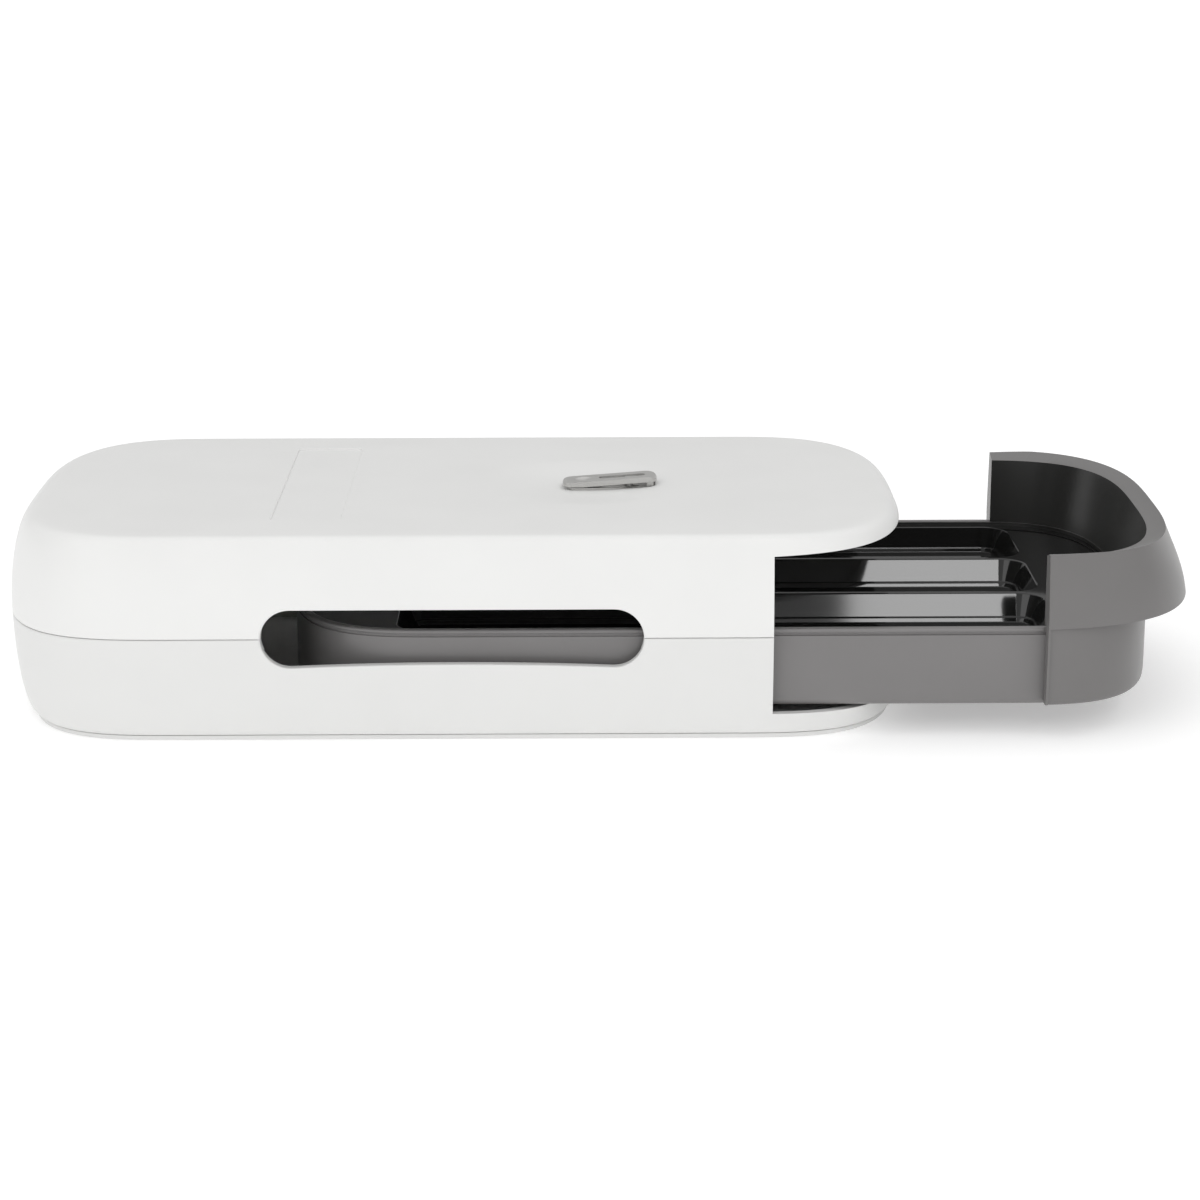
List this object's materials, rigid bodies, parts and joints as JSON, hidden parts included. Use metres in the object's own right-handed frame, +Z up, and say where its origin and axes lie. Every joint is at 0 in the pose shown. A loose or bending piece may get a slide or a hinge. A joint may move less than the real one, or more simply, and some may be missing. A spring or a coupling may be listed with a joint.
{
  "type": "drawer case",
  "caption": "Low rounded two-shell case with side windows, a pull-out laned drawer with a flared front, and a small hinged metal release lever on top.",
  "frame": {"origin": "centre of the case's flat underside, where it rests", "axes": "+X along the case's length, the way the drawer opens; +Y across the case to its rear long side; +Z up"},
  "size_m": [0.3916, 0.153, 0.0706],
  "materials": {
    "shell_upper": "satin white moulding",
    "shell_lower": "satin white moulding",
    "base": "satin off-white moulding",
    "pads": "soft dark grey rubber",
    "steel_screws": "plain zinc-plated steel",
    "glide": "smooth slippery plastic",
    "bumper": "soft black rubber",
    "spring_steel": "bare spring steel",
    "lever_metal": "dull nickel-plated steel",
    "tub_grey": "satin mid-grey moulding",
    "insert_grey": "glossy dark grey moulding",
    "front_grey": "satin mid-grey moulding"
  },
  "bodies": {
    "case": {"top_shell": "shell_upper", "bottom_shell": "shell_lower", "base_plate": "base", "base_pads": "pads", "base_screws": "steel_screws", "glide_strip_front": "glide", "glide_strip_rear": "glide", "rear_bumpers": "bumper", "detent_spring": "spring_steel", "detent_screw": "steel_screws", "lever_base": "lever_metal", "lever_rivets": "steel_screws", "hinge_pin": "steel_screws", "plunger_bush": "glide", "plunger_spring": "spring_steel"},
    "drawer": {"drawer_tub": "tub_grey", "lane_insert": "insert_grey", "drawer_front": "front_grey", "front_screws": "steel_screws"},
    "lever": {"lever": "lever_metal", "cross_pin": "steel_screws"},
    "stop": {"plunger": "steel_screws", "spring_clip": "spring_steel"}
  },
  "joints": [
    {"name": "drawer_slide", "type": "slide", "parent": "case", "child": "drawer", "axis": [1, 0, 0], "range_m": [-0.087, 0.073]},
    {"name": "lever_hinge", "type": "hinge", "parent": "case", "child": "lever", "pos_m": [0.0631, 0, 0.0685], "axis": [0, 1, 0], "range_deg": [0, 35], "stiffness_Nm_per_rad": 0.02, "springref_deg": -17.19},
    {"name": "stop_slide", "type": "slide", "parent": "case", "child": "stop", "axis": [0, 0, 1], "range_m": [0, 0.004], "deforming": ["plunger_spring"]}
  ],
  "couplings": [
    {"joint": "stop_slide", "follows": "lever_hinge", "m_per_rad": 0.00645}
  ]
}
